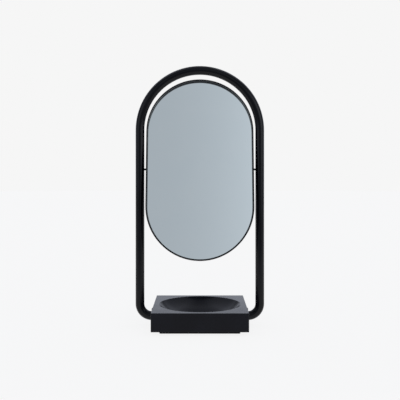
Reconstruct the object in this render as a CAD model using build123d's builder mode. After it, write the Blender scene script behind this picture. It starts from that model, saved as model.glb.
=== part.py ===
from build123d import *
import os
from math import cos, radians, sin

# Table mirror on a tray base.  Millimetres.
# Origin: centre of the foot pad's underside.  +Z up, +X to the viewer's right, the viewer stands at -Y.

# ---------------------------------------------------------------- driving dimensions
# tray block with its round dish
tray_side = 150.0
tray_bottom_z = 5.0
tray_top_z = 33.9
tray_edge_r = 0.5
tray_corner_r = 0.8
dish_r = 66.6
dish_mid_r = 40.0
dish_mid_slope = 15.0
dish_lip_slope = 50.0
dish_lip_r = 0.4

# recessed plinth: ballast plate and foot pad
plate_side = 125.2
plate_t = 3.5
plate_corner_r = 2.5
pad_side = 125.0
pad_t = tray_bottom_z - plate_t
pad_corner_r = 2.6
plate_screw_pitch = 100.0
plate_screw_r = 2.0
plate_screw_head_r = 3.9
sink_play = 0.27

# bent tube frame
tube_r = 7.15
tube_wall = 1.65
leg_x = 97.7
frame_top_z = 421.8
stub_z = 14.6
stub_end_x = 58.0
bend_r = 19.5
bore_play = 0.12

# collars where the tube goes into the tray, cut flat below
collar_r = 12.8
collar_flat_z = 5.6
collar_foot_r = 1.5
collar_t = 3.4
collar_bore_r = 7.35

# set screws that lock the tube ends, from under the tray beside the plate
fix_x = 67.2
fix_r = 2.0
fix_low_z, fix_high_z = 5.4, 17.6
plug_r = 5.45
plug_x0, plug_x1 = 58.6, 75.6

# mirror, measured in its own plane from the pivot axis
tilt_deg = 9.3
pivot_z = 253.1
mirror_w = 174.4
mirror_h = 296.7
rim_t = 2.1
rim_front = 13.1
rim_back = -4.5
flange_w = 7.0
flange_t = 1.5
glass_front = 5.8
glass_t = 3.0
tape_t = 0.5
board_play = 0.3
glass_play = 0.2
rim_screw_r = 1.25
rim_screw_head_r = 2.3

# pivot hardware
pin_r = 1.6
pin_play = 0.05
pin_head_r = 2.6
pin_head_t = 2.2
bush_r = 2.2
bush_flange_r = 2.65
bush_flange_t = 0.8
washer_t = 0.5
nut_r = 3.0

# ---------------------------------------------------------------- derived
bore_r = tube_r - tube_wall
arc_z = frame_top_z - tube_r - leg_x
half = tray_side / 2
rim_in_x = mirror_w / 2 - rim_t
board_back = rim_back + flange_t
board_front = glass_front - glass_t - tape_t
tilt = radians(tilt_deg)

mirror_plane = Plane(
    origin=(0, 0, pivot_z), x_dir=(1, 0, 0), z_dir=(0, -cos(tilt), sin(tilt))
)
mirror_normal = Axis((0, 0, pivot_z), (0, -cos(tilt), sin(tilt)))
sides = (("left", -1), ("right", 1))

os.makedirs("parts", exist_ok=True)
made = []


def keep(builder, name):
    """Labels a finished piece and writes it to its own file."""
    builder.part.label = name
    export_step(builder.part, f"parts/{name}.step")
    made.append(name)


def along_x(x):
    """A plane across the X axis at x, at the height of the tube stubs."""
    return Plane(origin=(x, 0, stub_z), x_dir=(0, 1, 0), z_dir=(1, 0, 0))


def along_pivot(x):
    """A plane across the pivot axis at x."""
    return Plane(origin=(x, 0, pivot_z), x_dir=(0, 1, 0), z_dir=(1, 0, 0))


# ---------------------------------------------------------------- tray block
# a lacquered block, 150 mm square, with a round dish turned into its top:
# a nearly flat floor that runs smoothly into a steeper wall
mid_slope, lip_slope = radians(dish_mid_slope), radians(dish_lip_slope)
dish_floor_r = dish_mid_r / sin(mid_slope)
dish_wall_r = (dish_r - dish_mid_r) / (sin(lip_slope) - sin(mid_slope))
dish_mid_z = tray_top_z - dish_wall_r * (cos(mid_slope) - cos(lip_slope))
dish_low_z = dish_mid_z - dish_floor_r * (1 - cos(mid_slope))
with BuildPart() as tray_block:
    with BuildSketch(Plane.XY.offset(tray_bottom_z)):
        RectangleRounded(tray_side, tray_side, tray_corner_r)
    extrude(amount=tray_top_z - tray_bottom_z)
    with BuildSketch(Plane.XZ) as dish_profile:
        with BuildLine():
            Polyline(
                (0, dish_low_z),
                (0, tray_top_z + 5),
                (dish_r, tray_top_z + 5),
                (dish_r, tray_top_z),
            )
            RadiusArc((dish_r, tray_top_z), (dish_mid_r, dish_mid_z), dish_wall_r)
            RadiusArc((dish_mid_r, dish_mid_z), (0, dish_low_z), dish_floor_r)
        make_face()
    revolve(axis=Axis.Z, mode=Mode.SUBTRACT)
    # soften the top edges and the lip of the dish
    top_face = tray_block.faces().sort_by(Axis.Z)[-1]
    fillet(top_face.outer_wire().edges(), tray_edge_r)
    top_face = tray_block.faces().filter_by(Plane.XY).sort_by(Axis.Z)[-1]
    fillet(top_face.inner_wires()[0].edges(), dish_lip_r)
    chamfer(tray_block.faces().sort_by(Axis.Z)[0].outer_wire().edges(), 0.4)
    # blind bores in the left and right sides for the tube ends
    for name, s in sides:
        with BuildSketch(along_x(s * (stub_end_x - 0.5))):
            Circle(tube_r + bore_play)
        extrude(amount=s * (half - stub_end_x + 5), mode=Mode.SUBTRACT)
    # clearance holes for the frame screws, pilot holes for the plate screws
    with BuildSketch(Plane.XY.offset(tray_bottom_z)):
        with Locations((-fix_x, 0), (fix_x, 0)):
            Circle(fix_r + 0.3)
    extrude(amount=stub_z - tray_bottom_z, mode=Mode.SUBTRACT)
    with BuildSketch(Plane.XY.offset(tray_bottom_z)):
        with GridLocations(plate_screw_pitch, plate_screw_pitch, 2, 2):
            Circle(plate_screw_r)
    extrude(amount=9.0, mode=Mode.SUBTRACT)
keep(tray_block, "tray_block")

# ---------------------------------------------------------------- ballast plate
with BuildPart() as base_plate:
    with BuildSketch(Plane.XY.offset(pad_t)):
        RectangleRounded(plate_side, plate_side, plate_corner_r)
    extrude(amount=plate_t)
    chamfer(base_plate.faces().sort_by(Axis.Z)[0].outer_wire().edges(), 0.4)
    with Locations(Plane(origin=(0, 0, pad_t), x_dir=(1, 0, 0), z_dir=(0, 0, -1))):
        with GridLocations(plate_screw_pitch, plate_screw_pitch, 2, 2):
            CounterSinkHole(
                plate_screw_r + 0.25, plate_screw_head_r + sink_play, plate_t, 90
            )
keep(base_plate, "base_plate")

# ---------------------------------------------------------------- foot pad
with BuildPart() as foot_pad:
    with BuildSketch(Plane.XY):
        RectangleRounded(pad_side, pad_side, pad_corner_r)
    extrude(amount=pad_t)
    fillet(foot_pad.faces().sort_by(Axis.Z)[0].outer_wire().edges(), 0.3)
keep(foot_pad, "foot_pad")

# ---------------------------------------------------------------- countersunk screws
def screw_profile(shank_r, head_r, length, tip):
    """Corners of the half profile of a countersunk screw: head at 0, tip at length."""
    head_h = head_r - shank_r
    return [
        (0, 0.1),
        (head_r - 0.1, 0.1),
        (head_r, 0.25),
        (shank_r, 0.25 + head_h),
        (shank_r, length - tip),
        (0.35 * shank_r, length),
        (0, length),
    ]


# four wood screws hold the plate under the block
with BuildPart() as base_plate_screws:
    for sx in (-1, 1):
        for sy in (-1, 1):
            spot = (sx * plate_screw_pitch / 2, sy * plate_screw_pitch / 2, pad_t)
            with BuildSketch(Plane(origin=spot, x_dir=(1, 0, 0), z_dir=(0, -1, 0))):
                with BuildLine():
                    Polyline(
                        *screw_profile(plate_screw_r - 0.02, plate_screw_head_r, 11.5, 3.0),
                        close=True,
                    )
                make_face()
            revolve(axis=Axis(spot, (0, 0, 1)))
            with BuildSketch(Plane.XY.offset(pad_t)):
                with Locations(spot[:2]):
                    Rectangle(4.2, 0.9)
                    Rectangle(0.9, 4.2)
            extrude(amount=1.3, mode=Mode.SUBTRACT)
keep(base_plate_screws, "base_plate_screws")

# two set screws go up through the block and lock the tube ends
with BuildPart() as frame_screws:
    with BuildSketch(Plane.XY.offset(fix_low_z)):
        with Locations((-fix_x, 0), (fix_x, 0)):
            Circle(fix_r)
    extrude(amount=fix_high_z - fix_low_z)
    chamfer(frame_screws.edges().filter_by(GeomType.CIRCLE), 0.3)
    with BuildSketch(Plane.XY.offset(fix_low_z)):
        with Locations((-fix_x, 0), (fix_x, 0)):
            RegularPolygon(radius=1.15, side_count=6)
    extrude(amount=2.0, mode=Mode.SUBTRACT)
keep(frame_screws, "frame_screws")

# ---------------------------------------------------------------- tube frame
# one tube: stub, small bend, leg, half-round top, leg, small bend, stub
with BuildPart() as tube_frame:
    with BuildLine(Plane.XZ) as frame_line:
        Line((-stub_end_x, stub_z), (-(leg_x - bend_r), stub_z))
        RadiusArc((-(leg_x - bend_r), stub_z), (-leg_x, stub_z + bend_r), bend_r)
        Line((-leg_x, stub_z + bend_r), (-leg_x, arc_z))
        ThreePointArc((-leg_x, arc_z), (0, arc_z + leg_x), (leg_x, arc_z))
        Line((leg_x, arc_z), (leg_x, stub_z + bend_r))
        RadiusArc((leg_x, stub_z + bend_r), (leg_x - bend_r, stub_z), bend_r)
        Line((leg_x - bend_r, stub_z), (stub_end_x, stub_z))
    with BuildSketch(along_x(-stub_end_x)):
        Circle(tube_r)
        Circle(bore_r, mode=Mode.SUBTRACT)
    sweep(path=frame_line.wires()[0])
    # pivot holes through the inner walls, screw holes through the undersides of the stubs
    for name, s in sides:
        with BuildSketch(along_pivot(s * (leg_x - tube_r - 1))):
            Circle(pin_r + 0.05)
        extrude(amount=s * (tube_r + 1), mode=Mode.SUBTRACT)
    with BuildSketch(Plane.XY.offset(stub_z)):
        with Locations((-fix_x, 0), (fix_x, 0)):
            Circle(fix_r + 0.3)
    extrude(amount=-(tube_r + 1), mode=Mode.SUBTRACT)
keep(tube_frame, "tube_frame")

# ---------------------------------------------------------------- per side: plug, collar, nut, pin
for name, s in sides:
    # threaded plug pressed into the tube end
    with BuildPart() as tube_plug:
        with BuildSketch(along_x(s * plug_x0)):
            Circle(plug_r)
        extrude(amount=s * (plug_x1 - plug_x0))
        chamfer(tube_plug.edges().filter_by(GeomType.CIRCLE), 0.5)
        with BuildSketch(Plane.XY.offset(stub_z - tube_r)):
            with Locations((s * fix_x, 0)):
                Circle(fix_r)
        extrude(amount=2 * tube_r, mode=Mode.SUBTRACT)
    keep(tube_plug, f"{name}_tube_plug")

    # collar that covers the edge of the bore
    with BuildPart() as tube_collar:
        with BuildSketch(along_x(s * half)) as collar_outline:
            Circle(collar_r)
            with Locations((0, collar_flat_z - stub_z)):
                Rectangle(
                    2 * collar_r,
                    collar_r,
                    align=(Align.CENTER, Align.MAX),
                    mode=Mode.SUBTRACT,
                )
            fillet(collar_outline.vertices().sort_by(Axis.Z)[:2], collar_foot_r)
            Circle(collar_bore_r, mode=Mode.SUBTRACT)
        extrude(amount=s * collar_t)
        outer = tube_collar.faces().sort_by(Axis.X)[-1 if s > 0 else 0]
        fillet(outer.outer_wire().edges(), 0.8)
        outer = tube_collar.faces().sort_by(Axis.X)[-1 if s > 0 else 0]
        chamfer(outer.inner_wires()[0].edges(), 0.3)
    keep(tube_collar, f"{name}_tube_collar")

    # nut welded inside the leg
    with BuildPart() as pivot_nut:
        with BuildSketch(along_pivot(s * (leg_x - 4.5))):
            RegularPolygon(radius=nut_r, side_count=6)
            Circle(pin_r, mode=Mode.SUBTRACT)
        extrude(amount=s * 6.0)
    keep(pivot_nut, f"{name}_pivot_nut")

    # headed pin: screwed into the nut, its plain shank carries the mirror
    with BuildPart() as pivot_pin:
        head_x = rim_in_x - bush_flange_t - washer_t - 0.12
        with BuildSketch(along_pivot(s * (head_x - pin_head_t))):
            Circle(pin_head_r)
        extrude(amount=s * pin_head_t)
        fillet(pivot_pin.faces().sort_by(Axis.X)[0 if s > 0 else -1].edges(), 0.4)
        with BuildSketch(along_pivot(s * head_x)):
            Circle(pin_r)
        extrude(amount=s * (leg_x + 1.2 - head_x))
        with BuildSketch(along_pivot(s * (head_x - pin_head_t))):
            RegularPolygon(radius=1.15, side_count=6)
        extrude(amount=s * 1.4, mode=Mode.SUBTRACT)
    keep(pivot_pin, f"{name}_pivot_pin")

# ---------------------------------------------------------------- mirror rim
# flat steel band bent to a long round-ended loop, with a narrow flange behind
screw_spots = [
    (-(mirror_w / 2 - rim_t - flange_w / 2), 42.0),
    (-(mirror_w / 2 - rim_t - flange_w / 2), -42.0),
    (mirror_w / 2 - rim_t - flange_w / 2, 42.0),
    (mirror_w / 2 - rim_t - flange_w / 2, -42.0),
    (0.0, mirror_h / 2 - rim_t - flange_w / 2),
    (0.0, -(mirror_h / 2 - rim_t - flange_w / 2)),
]
with BuildPart() as mirror_rim:
    with BuildSketch(mirror_plane.offset(rim_back)):
        SlotOverall(mirror_h, mirror_w, rotation=90)
        SlotOverall(
            mirror_h - 2 * (rim_t + flange_w),
            mirror_w - 2 * (rim_t + flange_w),
            rotation=90,
            mode=Mode.SUBTRACT,
        )
    extrude(amount=flange_t)
    with BuildSketch(mirror_plane.offset(rim_back)):
        SlotOverall(mirror_h, mirror_w, rotation=90)
        SlotOverall(
            mirror_h - 2 * rim_t, mirror_w - 2 * rim_t, rotation=90, mode=Mode.SUBTRACT
        )
    extrude(amount=rim_front - rim_back)
    fillet(mirror_rim.edges().group_by(mirror_normal)[-1], 0.4)
    back_face = mirror_rim.faces().sort_by(mirror_normal)[0]
    fillet(back_face.outer_wire().edges(), 0.5)
    with BuildSketch(along_pivot(-(mirror_w / 2 + 5))):
        Circle(bush_r + 0.02)
    extrude(amount=mirror_w + 10, mode=Mode.SUBTRACT)
    with Locations(
        Plane(
            origin=mirror_plane.offset(rim_back).origin,
            x_dir=(-1, 0, 0),
            z_dir=(0, cos(tilt), -sin(tilt)),
        )
    ):
        with Locations(*[(-x, y) for x, y in screw_spots]):
            CounterSinkHole(rim_screw_r + 0.1, rim_screw_head_r + sink_play, flange_t, 90)
keep(mirror_rim, "mirror_rim")

# ---------------------------------------------------------------- backing board
with BuildPart() as backing_board:
    with BuildSketch(mirror_plane.offset(board_back)):
        SlotOverall(
            mirror_h - 2 * (rim_t + board_play),
            mirror_w - 2 * (rim_t + board_play),
            rotation=90,
        )
        # notches that clear the heads of the pivot pins
        with Locations((-mirror_w / 2, 0), (mirror_w / 2, 0)):
            Rectangle(2 * (rim_t + 9), 14, mode=Mode.SUBTRACT)
    extrude(amount=board_front - board_back)
    with BuildSketch(mirror_plane.offset(board_back)):
        with Locations(*screw_spots):
            Circle(rim_screw_r)
    extrude(amount=4.6, mode=Mode.SUBTRACT)
keep(backing_board, "backing_board")

# ---------------------------------------------------------------- tape strips
with BuildPart() as tape_strips:
    with BuildSketch(mirror_plane.offset(board_front)):
        with Locations((-52, 0), (-18, 0), (18, 0), (52, 0)):
            Rectangle(12, 190)
    extrude(amount=tape_t)
keep(tape_strips, "tape_strips")

# ---------------------------------------------------------------- mirror glass
with BuildPart() as mirror_glass:
    with BuildSketch(mirror_plane.offset(glass_front - glass_t)):
        SlotOverall(
            mirror_h - 2 * (rim_t + glass_play),
            mirror_w - 2 * (rim_t + glass_play),
            rotation=90,
        )
    extrude(amount=glass_t)
    chamfer(mirror_glass.faces().sort_by(mirror_normal)[-1].edges(), 0.35)
keep(mirror_glass, "mirror_glass")

# ---------------------------------------------------------------- rim screws
with BuildPart() as rim_screws:
    for x, y in screw_spots:
        spot = mirror_plane.offset(rim_back).from_local_coords((x, y, 0))
        n = (0, -cos(tilt), sin(tilt))
        with BuildSketch(Plane(origin=spot, x_dir=(1, 0, 0), z_dir=(0, -sin(tilt), -cos(tilt)))):
            with BuildLine():
                Polyline(
                    *screw_profile(rim_screw_r - 0.02, rim_screw_head_r, 5.6, 1.4),
                    close=True,
                )
            make_face()
        revolve(axis=Axis(spot, n))
        with BuildSketch(Plane(origin=spot, x_dir=(1, 0, 0), z_dir=n)):
            Rectangle(2.6, 0.6)
            Rectangle(0.6, 2.6)
        extrude(amount=0.8, mode=Mode.SUBTRACT)
keep(rim_screws, "rim_screws")

# ---------------------------------------------------------------- pivot bushes and friction washers
for name, s in sides:
    with BuildPart() as pivot_bush:
        with BuildSketch(along_pivot(s * (rim_in_x - bush_flange_t))):
            Circle(bush_flange_r)
        extrude(amount=s * bush_flange_t)
        with BuildSketch(along_pivot(s * rim_in_x)):
            Circle(bush_r)
        extrude(amount=s * rim_t)
        with BuildSketch(along_pivot(s * (rim_in_x - bush_flange_t - 1))):
            Circle(pin_r + pin_play)
        extrude(amount=s * (rim_t + bush_flange_t + 2), mode=Mode.SUBTRACT)
    keep(pivot_bush, f"{name}_pivot_bush")

    with BuildPart() as friction_washer:
        with BuildSketch(along_pivot(s * (rim_in_x - bush_flange_t - washer_t))):
            Circle(bush_flange_r)
            Circle(pin_r + pin_play, mode=Mode.SUBTRACT)
        extrude(amount=s * washer_t)
    keep(friction_washer, f"{name}_friction_washer")

print(len(made), "pieces written")
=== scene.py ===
import math

import bpy
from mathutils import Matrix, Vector

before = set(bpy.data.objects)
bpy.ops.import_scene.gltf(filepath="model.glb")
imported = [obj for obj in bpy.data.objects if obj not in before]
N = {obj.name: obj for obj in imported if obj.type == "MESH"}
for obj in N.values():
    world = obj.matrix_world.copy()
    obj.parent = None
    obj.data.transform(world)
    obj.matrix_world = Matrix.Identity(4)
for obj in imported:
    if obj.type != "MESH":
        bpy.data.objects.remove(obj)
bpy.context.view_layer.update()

scene = bpy.context.scene

# ---------------------------------------------------------------- colour management
scene.view_settings.view_transform = "Standard"
scene.view_settings.look = "None"
scene.view_settings.exposure = 0.0
scene.view_settings.gamma = 1.0


# ---------------------------------------------------------------- node helpers
class Tree:
    """Small helper that adds and links shader nodes."""

    def __init__(self, tree):
        self.t = tree
        self.x = -200

    def node(self, kind, **inputs):
        n = self.t.nodes.new(kind)
        self.x -= 40
        n.location = (self.x, -abs(self.x) % 600)
        for k, v in inputs.items():
            n.inputs[k.replace("_", " ")].default_value = v
        return n

    def link(self, a, b):
        self.t.links.new(a, b)

    def put(self, value, socket):
        if isinstance(value, bpy.types.NodeSocket):
            self.link(value, socket)
        else:
            socket.default_value = value

    def math(self, op, a, b=None, c=None, clamp=False):
        n = self.t.nodes.new("ShaderNodeMath")
        n.operation = op
        n.use_clamp = clamp
        for i, v in enumerate((a, b, c)):
            if v is not None:
                self.put(v, n.inputs[i])
        return n.outputs[0]

    def vmath(self, op, a, b=None):
        n = self.t.nodes.new("ShaderNodeVectorMath")
        n.operation = op
        self.put(a, n.inputs[0])
        if b is not None:
            self.put(b, n.inputs[1])
        return n.outputs["Value"] if op in ("LENGTH", "DOT_PRODUCT", "DISTANCE") else n.outputs["Vector"]

    def ramp(self, value, low, high, a=0.0, b=1.0, smooth=True):
        n = self.t.nodes.new("ShaderNodeMapRange")
        n.interpolation_type = "SMOOTHSTEP" if smooth else "LINEAR"
        n.clamp = True
        self.put(value, n.inputs["Value"])
        for k, v in (("From Min", low), ("From Max", high), ("To Min", a), ("To Max", b)):
            self.put(v, n.inputs[k])
        return n.outputs["Result"]

    def mix(self, fac, a, b, blend="MIX"):
        n = self.t.nodes.new("ShaderNodeMix")
        n.data_type = "RGBA"
        n.blend_type = blend
        self.put(fac, n.inputs["Factor"])
        self.put(a, n.inputs[6])
        self.put(b, n.inputs[7])
        return n.outputs[2]

    def xyz(self, vector):
        n = self.t.nodes.new("ShaderNodeSeparateXYZ")
        self.put(vector, n.inputs[0])
        return n.outputs

    def coord(self, which="Object"):
        return self.t.nodes.new("ShaderNodeTexCoord").outputs[which]

    def noise(self, vector, scale, detail=3.0, rough=0.55, distortion=0.0):
        n = self.t.nodes.new("ShaderNodeTexNoise")
        self.put(vector, n.inputs["Vector"])
        n.inputs["Scale"].default_value = scale
        n.inputs["Detail"].default_value = detail
        n.inputs["Roughness"].default_value = rough
        n.inputs["Distortion"].default_value = distortion
        return n.outputs["Fac"]

    def voronoi(self, vector, scale, feature="F1", randomness=1.0):
        n = self.t.nodes.new("ShaderNodeTexVoronoi")
        n.feature = feature
        self.put(vector, n.inputs["Vector"])
        n.inputs["Scale"].default_value = scale
        n.inputs["Randomness"].default_value = randomness
        return n.outputs["Distance"]

    def bump(self, height, strength, distance, normal=None):
        n = self.t.nodes.new("ShaderNodeBump")
        n.inputs["Strength"].default_value = strength
        n.inputs["Distance"].default_value = distance
        self.put(height, n.inputs["Height"])
        if normal is not None:
            self.link(normal, n.inputs["Normal"])
        return n.outputs["Normal"]

    def scale_vec(self, vector, s):
        return self.vmath("MULTIPLY", vector, s)


def material(name, **sockets):
    m = bpy.data.materials.new(name)
    m.use_nodes = True
    t = Tree(m.node_tree)
    p = m.node_tree.nodes["Principled BSDF"]
    for k, v in sockets.items():
        p.inputs[k.replace("_", " ")].default_value = v
    return m, t, p


def dress(name, mat):
    """Gives a carried-over piece its finished material."""
    o = N[name]
    o.data.materials.clear()
    o.data.materials.append(mat)
    return o


# ---------------------------------------------------------------- powder-coated steel
def powder_coat(name, base, rough, spec, grain=1400.0):
    m, t, p = material(name, Metallic=0.0, Specular_IOR_Level=spec, IOR=1.45)
    c = t.coord()
    cloud = t.noise(c, 38.0, 4.0, 0.6)
    fine = t.noise(c, grain, 3.0, 0.6)
    grit = t.voronoi(c, grain * 0.55)
    speck = t.ramp(t.voronoi(c, 210.0), 0.045, 0.02)
    dull = t.ramp(cloud, 0.35, 0.7)
    dark = (base[0] * 0.8, base[1] * 0.8, base[2] * 0.8, 1)
    light = (base[0] * 1.25, base[1] * 1.25, base[2] * 1.25, 1)
    col = t.mix(dull, dark, light)
    col = t.mix(t.math("MULTIPLY", speck, 0.05), col, (0.10, 0.10, 0.105, 1))
    t.link(col, p.inputs["Base Color"])
    r = t.math("ADD", t.ramp(cloud, 0.3, 0.75, rough - 0.03, rough + 0.04), t.ramp(fine, 0.3, 0.7, -0.02, 0.02))
    t.link(r, p.inputs["Roughness"])
    height = t.math("ADD", fine, t.math("MULTIPLY", grit, 0.6))
    n = t.bump(height, 0.10, 0.00004)
    t.link(n, p.inputs["Normal"])
    return m


# ---------------------------------------------------------------- tray lacquer
def tray_lacquer(name, base, rough, spec):
    """Satin lacquer on fibreboard: faint orange peel, dust in the dish, hairline scratches where things slide, edges worn a little lighter."""
    m, t, p = material(name, Metallic=0.0, Specular_IOR_Level=spec, IOR=1.5)
    c = t.coord()
    x, y, z = t.xyz(c)
    peel = t.noise(c, 420.0, 2.0, 0.5)
    cloud = t.noise(c, 22.0, 5.0, 0.6)
    fine = t.noise(c, 1600.0, 3.0, 0.6)
    # edges: near two of the block's planes at once
    ax, ay = t.math("ABSOLUTE", x), t.math("ABSOLUTE", y)
    ex = t.ramp(ax, 0.0744, 0.0752)
    ey = t.ramp(ay, 0.0744, 0.0752)
    ez = t.ramp(z, 0.0332, 0.034)
    edge = t.math("MAXIMUM", t.math("MULTIPLY", ex, ey), t.math("MULTIPLY", t.math("MAXIMUM", ex, ey), ez))
    worn = t.math("MULTIPLY", edge, t.ramp(t.noise(c, 140.0, 4.0, 0.7), 0.42, 0.75))
    # the dish: hairlines run every way, most at its bottom
    radius = t.vmath("LENGTH", t.scale_vec(c, (1, 1, 0)))
    inside = t.ramp(radius, 0.0655, 0.02)
    streak = None
    for turn, freq in ((0.35, 330.0), (1.45, 280.0), (2.5, 390.0)):
        mp = t.t.nodes.new("ShaderNodeMapping")
        mp.inputs["Rotation"].default_value = (0, 0, turn)
        mp.inputs["Scale"].default_value = (freq * 6, freq * 0.22, 1)
        t.link(c, mp.inputs["Vector"])
        s = t.ramp(t.noise(mp.outputs["Vector"], 1.0, 2.0, 0.5, 0.4), 0.69, 0.78)
        streak = s if streak is None else t.math("MAXIMUM", streak, s)
    scratch = t.math("MULTIPLY", streak, t.math("ADD", t.math("MULTIPLY", inside, 0.75), 0.1))
    dust = t.ramp(t.voronoi(c, 300.0), 0.06, 0.025)
    dark = (base[0] * 0.85, base[1] * 0.85, base[2] * 0.85, 1)
    light = (base[0] * 1.2, base[1] * 1.2, base[2] * 1.2, 1)
    col = t.mix(t.ramp(cloud, 0.35, 0.7), dark, light)
    col = t.mix(t.math("MULTIPLY", worn, 0.35), col, (0.05, 0.052, 0.058, 1))
    col = t.mix(t.math("MULTIPLY", scratch, 0.08), col, (0.08, 0.08, 0.085, 1))
    col = t.mix(t.math("MULTIPLY", dust, 0.05), col, (0.14, 0.14, 0.14, 1))
    t.link(col, p.inputs["Base Color"])
    r = t.math("ADD", t.ramp(cloud, 0.3, 0.75, rough - 0.03, rough + 0.04), t.math("MULTIPLY", scratch, 0.12))
    t.link(r, p.inputs["Roughness"])
    h = t.math("ADD", t.math("MULTIPLY", peel, 1.0), t.math("MULTIPLY", fine, 0.25))
    n = t.bump(h, 0.10, 0.00008)
    n = t.bump(t.math("MULTIPLY", scratch, -1.0), 0.12, 0.00005, n)
    t.link(n, p.inputs["Normal"])
    return m


# ---------------------------------------------------------------- silvered glass
PIVOT = Vector((0.0, 0.0, 0.2531))
TILT = math.radians(9.3)
FACING = Vector((0.0, -math.cos(TILT), math.sin(TILT)))


def silvered(name):
    """Mirror glass: silvering seen through a faintly green pane, a film of wipe marks and dust on its face, ground edges, and grey backing paint behind."""
    m, t, p = material(name, Specular_IOR_Level=0.5)
    c = t.coord()
    film = t.noise(c, 16.0, 5.0, 0.62, 0.6)
    wipe_map = t.t.nodes.new("ShaderNodeMapping")
    wipe_map.inputs["Rotation"].default_value = (0, 0.6, 0)
    wipe_map.inputs["Scale"].default_value = (26, 26, 140)
    t.link(c, wipe_map.inputs["Vector"])
    wipe = t.noise(wipe_map.outputs["Vector"], 1.0, 4.0, 0.6, 0.8)
    dust = t.ramp(t.voronoi(c, 170.0), 0.03, 0.012)
    # height above the pivot axis along the mirror's own normal: the front face is at 5.8 mm, the back at 2.8 mm
    depth = t.vmath("DOT_PRODUCT", t.vmath("SUBTRACT", c, tuple(PIVOT)), tuple(FACING))
    front = t.ramp(depth, 0.00560, 0.00575)
    edge = t.ramp(depth, 0.00283, 0.00295)
    col = t.mix(t.ramp(film, 0.35, 0.7), (0.885, 0.92, 0.93, 1), (0.9, 0.93, 0.937, 1))
    col = t.mix(t.math("MULTIPLY", dust, 0.12), col, (0.7, 0.72, 0.73, 1))
    ground = t.mix(t.ramp(t.noise(c, 900.0, 3.0), 0.35, 0.7), (0.10, 0.17, 0.15, 1), (0.16, 0.24, 0.21, 1))
    paint = t.mix(t.ramp(t.noise(c, 60.0, 5.0, 0.65), 0.35, 0.7), (0.030, 0.032, 0.035, 1), (0.052, 0.054, 0.058, 1))
    side = t.mix(edge, paint, ground)
    t.link(t.mix(front, side, col), p.inputs["Base Color"])
    t.link(front, p.inputs["Metallic"])
    r = t.math("ADD", t.ramp(film, 0.4, 0.75, 0.012, 0.03), t.ramp(wipe, 0.5, 0.8, 0.0, 0.02))
    r = t.math("ADD", r, t.math("MULTIPLY", dust, 0.25))
    r = t.math("ADD", r, t.ramp(front, 0.0, 1.0, 0.45, 0.0))
    t.link(r, p.inputs["Roughness"])
    # the backing paint is slightly pebbled; the face stays flat
    n = t.bump(t.math("MULTIPLY", t.noise(c, 1200.0, 3.0), t.math("SUBTRACT", 1.0, front)), 0.2, 0.00005)
    t.link(n, p.inputs["Normal"])
    return m


# ---------------------------------------------------------------- black-faced hardboard
def hardboard(name):
    m, t, p = material(name, Metallic=0.0, Specular_IOR_Level=0.3)
    c = t.coord()
    # the screen pattern pressed into the back of the board
    x, y, z = t.xyz(c)
    wx = t.math("SINE", t.math("MULTIPLY", x, 2 * math.pi / 0.0017))
    wz = t.math("SINE", t.math("MULTIPLY", z, 2 * math.pi / 0.0017))
    mesh = t.math("MULTIPLY", t.math("ADD", wx, wz), 0.25)
    fibre_map = t.t.nodes.new("ShaderNodeMapping")
    fibre_map.inputs["Scale"].default_value = (260, 260, 900)
    fibre_map.inputs["Rotation"].default_value = (0, 0.9, 0)
    t.link(c, fibre_map.inputs["Vector"])
    fibre = t.noise(fibre_map.outputs["Vector"], 1.0, 5.0, 0.7, 1.5)
    cloud = t.noise(c, 30.0, 4.0, 0.6)
    strand_map = t.t.nodes.new("ShaderNodeMapping")
    strand_map.inputs["Scale"].default_value = (900, 300, 160)
    strand_map.inputs["Rotation"].default_value = (0, -0.5, 0)
    t.link(c, strand_map.inputs["Vector"])
    strand = t.noise(strand_map.outputs["Vector"], 1.0, 4.0, 0.7, 2.2)
    col = t.mix(t.ramp(cloud, 0.3, 0.7), (0.017, 0.016, 0.015, 1), (0.036, 0.033, 0.030, 1))
    col = t.mix(t.ramp(fibre, 0.52, 0.75, 0.0, 0.45), col, (0.10, 0.086, 0.072, 1))
    col = t.mix(t.ramp(strand, 0.6, 0.78, 0.0, 0.5), col, (0.12, 0.10, 0.082, 1))
    # painted shade: the dips of the pressed screen pattern are darkened
    col = t.mix(t.ramp(mesh, 0.1, -0.3, 0.0, 0.35), col, (0.008, 0.0075, 0.007, 1))
    t.link(col, p.inputs["Base Color"])
    t.link(t.ramp(fibre, 0.3, 0.7, 0.62, 0.82), p.inputs["Roughness"])
    n = t.bump(t.math("ADD", t.math("MULTIPLY", mesh, 0.6), t.math("MULTIPLY", fibre, 0.5)), 0.5, 0.00015)
    t.link(n, p.inputs["Normal"])
    return m


# ---------------------------------------------------------------- rubber pad
def rubber(name):
    m, t, p = material(name, Metallic=0.0, Specular_IOR_Level=0.12)
    c = t.coord()
    grain = t.noise(c, 900.0, 4.0, 0.65)
    cell = t.voronoi(c, 620.0)
    cloud = t.noise(c, 40.0, 4.0, 0.6)
    col = t.mix(t.ramp(cloud, 0.3, 0.7), (0.004, 0.004, 0.0044, 1), (0.008, 0.008, 0.0085, 1))
    col = t.mix(t.ramp(t.voronoi(c, 150.0), 0.06, 0.03, 0.0, 0.2), col, (0.05, 0.049, 0.047, 1))
    t.link(col, p.inputs["Base Color"])
    t.link(t.ramp(grain, 0.3, 0.7, 0.72, 0.92), p.inputs["Roughness"])
    n = t.bump(t.math("ADD", grain, cell), 0.45, 0.00018)
    t.link(n, p.inputs["Normal"])
    return m


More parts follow.
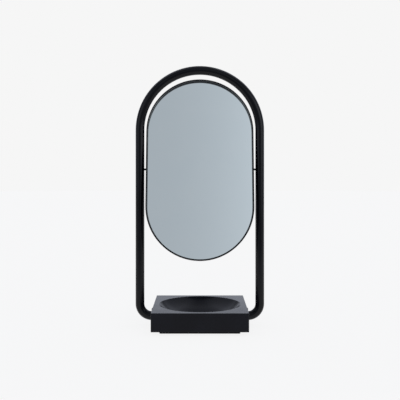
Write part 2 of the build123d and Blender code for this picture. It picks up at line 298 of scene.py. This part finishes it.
# ---------------------------------------------------------------- plated and oxide-blacked metal
def metal(name, dark, light, rough, stretch=(300, 300, 2600), speckle=0.0):
    m, t, p = material(name, Metallic=1.0)
    c = t.coord()
    mp = t.t.nodes.new("ShaderNodeMapping")
    mp.inputs["Scale"].default_value = stretch
    t.link(c, mp.inputs["Vector"])
    turned = t.noise(mp.outputs["Vector"], 1.0, 4.0, 0.6)
    cloud = t.noise(c, 260.0, 4.0, 0.6)
    col = t.mix(t.ramp(cloud, 0.3, 0.7), (*dark, 1), (*light, 1))
    if speckle:
        col = t.mix(t.ramp(t.noise(c, 1500.0, 2.0), 0.62, 0.75, 0.0, speckle), col, (0.3, 0.22, 0.14, 1))
    t.link(col, p.inputs["Base Color"])
    t.link(t.ramp(turned, 0.3, 0.7, rough - 0.08, rough + 0.1), p.inputs["Roughness"])
    t.link(t.bump(turned, 0.25, 0.00004), p.inputs["Normal"])
    return m


# ---------------------------------------------------------------- nylon, tape
def nylon(name):
    m, t, p = material(name, Metallic=0.0, Specular_IOR_Level=0.4)
    c = t.coord()
    cloud = t.noise(c, 700.0, 3.0, 0.6)
    t.link(t.mix(t.ramp(cloud, 0.3, 0.7), (0.012, 0.012, 0.012, 1), (0.024, 0.024, 0.024, 1)), p.inputs["Base Color"])
    t.link(t.ramp(cloud, 0.3, 0.7, 0.42, 0.58), p.inputs["Roughness"])
    t.link(t.bump(t.noise(c, 2400.0, 2.0), 0.2, 0.00004), p.inputs["Normal"])
    return m


def foam_tape(name):
    m, t, p = material(name, Metallic=0.0, Roughness=0.85, Specular_IOR_Level=0.2)
    c = t.coord()
    cells = t.voronoi(c, 1300.0)
    # painted shade: the pits of the foam cells are darkened
    t.link(t.mix(t.ramp(cells, 0.1, 0.6), (0.55, 0.54, 0.5, 1), (0.76, 0.75, 0.71, 1)), p.inputs["Base Color"])
    t.link(t.ramp(cells, 0.1, 0.6, 0.95, 0.75), p.inputs["Roughness"])
    t.link(t.bump(cells, 0.6, 0.0002), p.inputs["Normal"])
    return m


coat = powder_coat("frame_coat", (0.0008, 0.0009, 0.0026), 0.23, 0.25)
rim_coat = powder_coat("rim_coat", (0.0010, 0.0011, 0.0026), 0.26, 0.30, 1700.0)
lacquer = tray_lacquer("tray_lacquer", (0.0042, 0.0045, 0.0074), 0.17, 0.125)
plate_coat = powder_coat("plate_coat", (0.0012, 0.0012, 0.0014), 0.5, 0.12, 1100.0)
glass = silvered("silvered_glass")
board = hardboard("hardboard")
pad = rubber("pad_rubber")
zinc = metal("zinc_plate", (0.5, 0.5, 0.47), (0.66, 0.65, 0.6), 0.34)
oxide = metal("black_oxide", (0.025, 0.025, 0.028), (0.05, 0.05, 0.054), 0.42, speckle=0.08)
bright = metal("turned_steel", (0.42, 0.42, 0.42), (0.58, 0.57, 0.56), 0.3)
bush = nylon("black_nylon")
tape = foam_tape("foam_tape")

dress("tray_block", lacquer)
dress("base_plate", plate_coat)
dress("foot_pad", pad)
dress("tube_frame", coat)
dress("mirror_rim", rim_coat)
dress("mirror_glass", glass)
dress("backing_board", board)
dress("tape_strips", tape)
dress("rim_screws", oxide)
dress("base_plate_screws", zinc)
dress("frame_screws", zinc)
for side in ("left", "right"):
    dress(f"{side}_tube_collar", lacquer)
    dress(f"{side}_tube_plug", bright)
    dress(f"{side}_pivot_nut", bright)
    dress(f"{side}_pivot_pin", oxide)
    dress(f"{side}_pivot_bush", bush)
    dress(f"{side}_friction_washer", bright)

# ---------------------------------------------------------------- studio: floor, backdrop, soft light
PALE = 0.9216


def disc(name, radius, z, rings=24, segments=96):
    import bmesh

    bm = bmesh.new()
    bmesh.ops.create_circle(bm, cap_ends=True, radius=radius, segments=segments)
    me = bpy.data.meshes.new(name)
    bm.to_mesh(me)
    bm.free()
    o = bpy.data.objects.new(name, me)
    o.location = (0, 0, z)
    scene.collection.objects.link(o)
    return o


floor = disc("studio_floor", 4.6, -0.0001)
floor.location = (0, 3.95, -0.0001)
fm = bpy.data.materials.new("floor_pale")
fm.use_nodes = True
ft = Tree(fm.node_tree)
fm.node_tree.nodes.clear()
out = fm.node_tree.nodes.new("ShaderNodeOutputMaterial")
emit = fm.node_tree.nodes.new("ShaderNodeEmission")
emit.inputs["Color"].default_value = (1, 1, 1, 1)
emit.inputs["Strength"].default_value = 0.865
diff = fm.node_tree.nodes.new("ShaderNodeBsdfDiffuse")
diff.inputs["Color"].default_value = (0.09, 0.09, 0.09, 1)
add = fm.node_tree.nodes.new("ShaderNodeAddShader")
ft.link(emit.outputs[0], add.inputs[0])
ft.link(diff.outputs[0], add.inputs[1])
ft.link(add.outputs[0], out.inputs["Surface"])
floor.data.materials.append(fm)

# a plain pale dome that only the camera sees
import bmesh

bm = bmesh.new()
bmesh.ops.create_icosphere(bm, subdivisions=5, radius=7.5)
me = bpy.data.meshes.new("studio_dome")
bm.to_mesh(me)
bm.free()
dome = bpy.data.objects.new("studio_dome", me)
scene.collection.objects.link(dome)
dm = bpy.data.materials.new("dome_pale")
dm.use_nodes = True
dm.node_tree.nodes.clear()
o_ = dm.node_tree.nodes.new("ShaderNodeOutputMaterial")
e_ = dm.node_tree.nodes.new("ShaderNodeEmission")
e_.inputs["Color"].default_value = (PALE, PALE, PALE, 1)
e_.inputs["Strength"].default_value = 1.0
dm.node_tree.links.new(e_.outputs[0], o_.inputs["Surface"])
dome.data.materials.append(dm)
for flag in ("visible_diffuse", "visible_glossy", "visible_transmission", "visible_volume_scatter", "visible_shadow"):
    setattr(dome, flag, False)

# soft light from all round: a pale wall behind, two softboxes in front at the sides, and a dimmer room
world = bpy.data.worlds.new("studio")
scene.world = world
world.use_nodes = True
wt = Tree(world.node_tree)
bg = world.node_tree.nodes["Background"]
d = wt.coord("Generated")
dx, dy, dz = wt.xyz(d)


def toward(x, y, z):
    v = Vector((x, y, z)).normalized()
    return wt.vmath("DOT_PRODUCT", d, tuple(v))


def scaled(color, factor):
    n = wt.t.nodes.new("ShaderNodeVectorMath")
    n.operation = "SCALE"
    wt.put(color, n.inputs[0])
    wt.put(factor, n.inputs["Scale"])
    return n.outputs["Vector"]


def plus(a, b):
    return wt.vmath("ADD", a, b)


light = (0.10, 0.105, 0.118)
# the room below eye level and a little above it
low = wt.math("MULTIPLY", wt.ramp(dz, 0.16, 0.0), wt.ramp(dy, 0.5, 0.0))
light = plus(light, scaled((0.19, 0.20, 0.22), low))
# the wall behind, up to about a quarter of the way overhead
wall = wt.math("MULTIPLY", wt.ramp(dy, 0.05, 0.45), wt.ramp(dz, 0.40, 0.215))
light = plus(light, scaled((0.62, 0.655, 0.75), wall))
# above it the room behind is lighter to both sides
above = wt.math("MULTIPLY", wt.ramp(dy, -0.5, 0.0), wt.ramp(dz, 0.3, 0.5))
sides = wt.ramp(wt.math("ABSOLUTE", dx), 0.05, 0.30, 0.11, 0.62)
light = plus(light, scaled((0.93, 0.98, 1.15), wt.math("MULTIPLY", above, sides)))
# ceiling
light = plus(light, scaled((0.40, 0.41, 0.44), wt.ramp(dz, 0.60, 0.90)))
# softboxes, the right one brighter
level = wt.ramp(dz, -0.07, 0.05)
right = wt.math("MULTIPLY", wt.ramp(toward(0.80, -0.60, 0.12), 0.86, 0.95), level)
left = wt.math("MULTIPLY", wt.ramp(toward(-0.80, -0.60, 0.12), 0.86, 0.95), level)
light = plus(light, scaled((1.75, 1.82, 1.96), right))
light = plus(light, scaled((0.95, 1.0, 1.1), left))
# the room that the mirror shows, brighter to the right
sq = wt.math("MULTIPLY", dx, dx)
glow = wt.math("ADD", wt.math("ADD", wt.math("MULTIPLY", dx, 0.875), wt.math("MULTIPLY", sq, 5.55)), 0.381)
glow = wt.math("MINIMUM", wt.math("MAXIMUM", glow, 0.33), 0.62)
patch = wt.math("MULTIPLY", wt.ramp(toward(0, -0.95, 0.31), 0.84, 0.92), wt.ramp(dz, 0.03, 0.15))
light = plus(light, scaled((0.893, 1.0, 1.075), wt.math("MULTIPLY", patch, glow)))
wt.link(light, bg.inputs["Color"])
bg.inputs["Strength"].default_value = 1.0

# ---------------------------------------------------------------- camera
cam_data = bpy.data.cameras.new("camera")
cam_data.sensor_width = 36.0
cam_data.lens = 680.2 / 400 * 36.0
cam_data.shift_x = 0.0003
cam_data.shift_y = -0.0738
cam_data.clip_start = 0.05
cam_data.clip_end = 50.0
cam_data.dof.use_dof = False
cam = bpy.data.objects.new("camera", cam_data)
cam.location = (0.0, -1.110, 0.2514)
cam.rotation_euler = (math.radians(90), 0, 0)
scene.collection.objects.link(cam)
scene.camera = cam

# ---------------------------------------------------------------- finish
bpy.context.view_layer.update()
